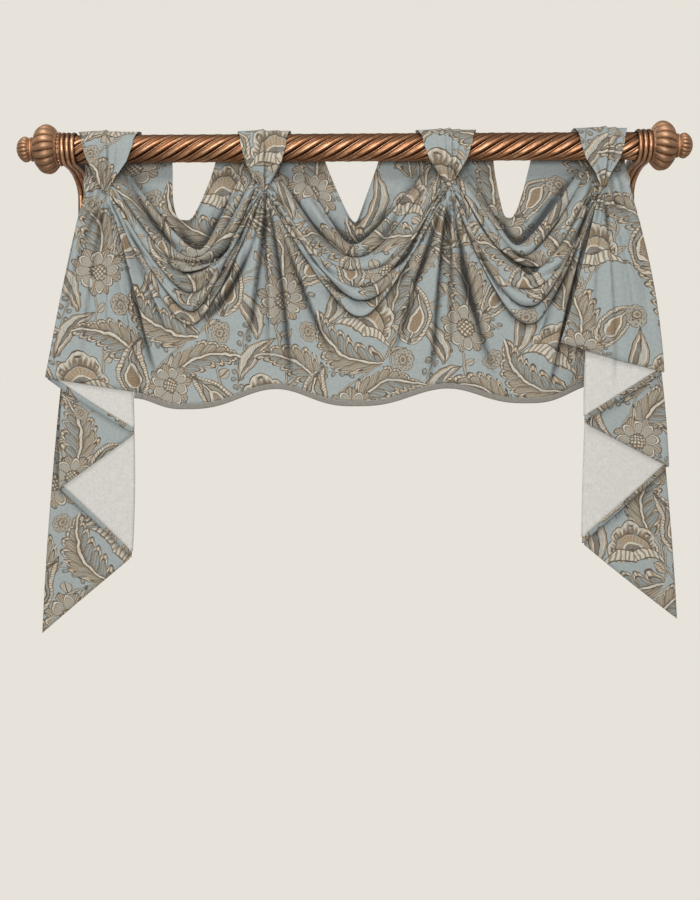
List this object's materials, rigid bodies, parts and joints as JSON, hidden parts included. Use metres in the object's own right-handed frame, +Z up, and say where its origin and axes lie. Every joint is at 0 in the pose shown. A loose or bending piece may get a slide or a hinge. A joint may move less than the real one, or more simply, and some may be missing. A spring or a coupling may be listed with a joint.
{
  "type": "swag and tail drape on a curtain pole",
  "caption": "Swag and tail drape with tabs, scalloped apron and lined zigzag tails, hung from a rope-twist pole with ball finials on wall brackets.",
  "frame": {"origin": "middle of the left bracket's flat wall face", "axes": "+X along the pole to the right, +Y into the wall, +Z up"},
  "size_m": [1.392, 0.2075, 1.0478],
  "materials": {
    "copper": "antique copper with dark grooves, semi-gloss",
    "bronze": "brushed bronze, satin",
    "printed_cotton": "printed cotton-linen, blue-grey ground with cream, taupe and brown leaves and flowers, matt",
    "taupe_binding": "plain grey-taupe binding, matt",
    "linen_lining": "natural slubbed linen, matt"
  },
  "bodies": {
    "root": {"pole": "copper", "finial_left": "bronze", "finial_right": "bronze", "bracket_left": "copper", "bracket_right": "copper", "swag_panel": "printed_cotton", "hem_band": "taupe_binding", "tab_1": "printed_cotton", "tab_2": "printed_cotton", "tab_3": "printed_cotton", "tab_4": "printed_cotton", "tail_left": "printed_cotton", "tail_right": "printed_cotton", "tail_left_lining": "linen_lining", "tail_right_lining": "linen_lining"}
  },
  "joints": []
}
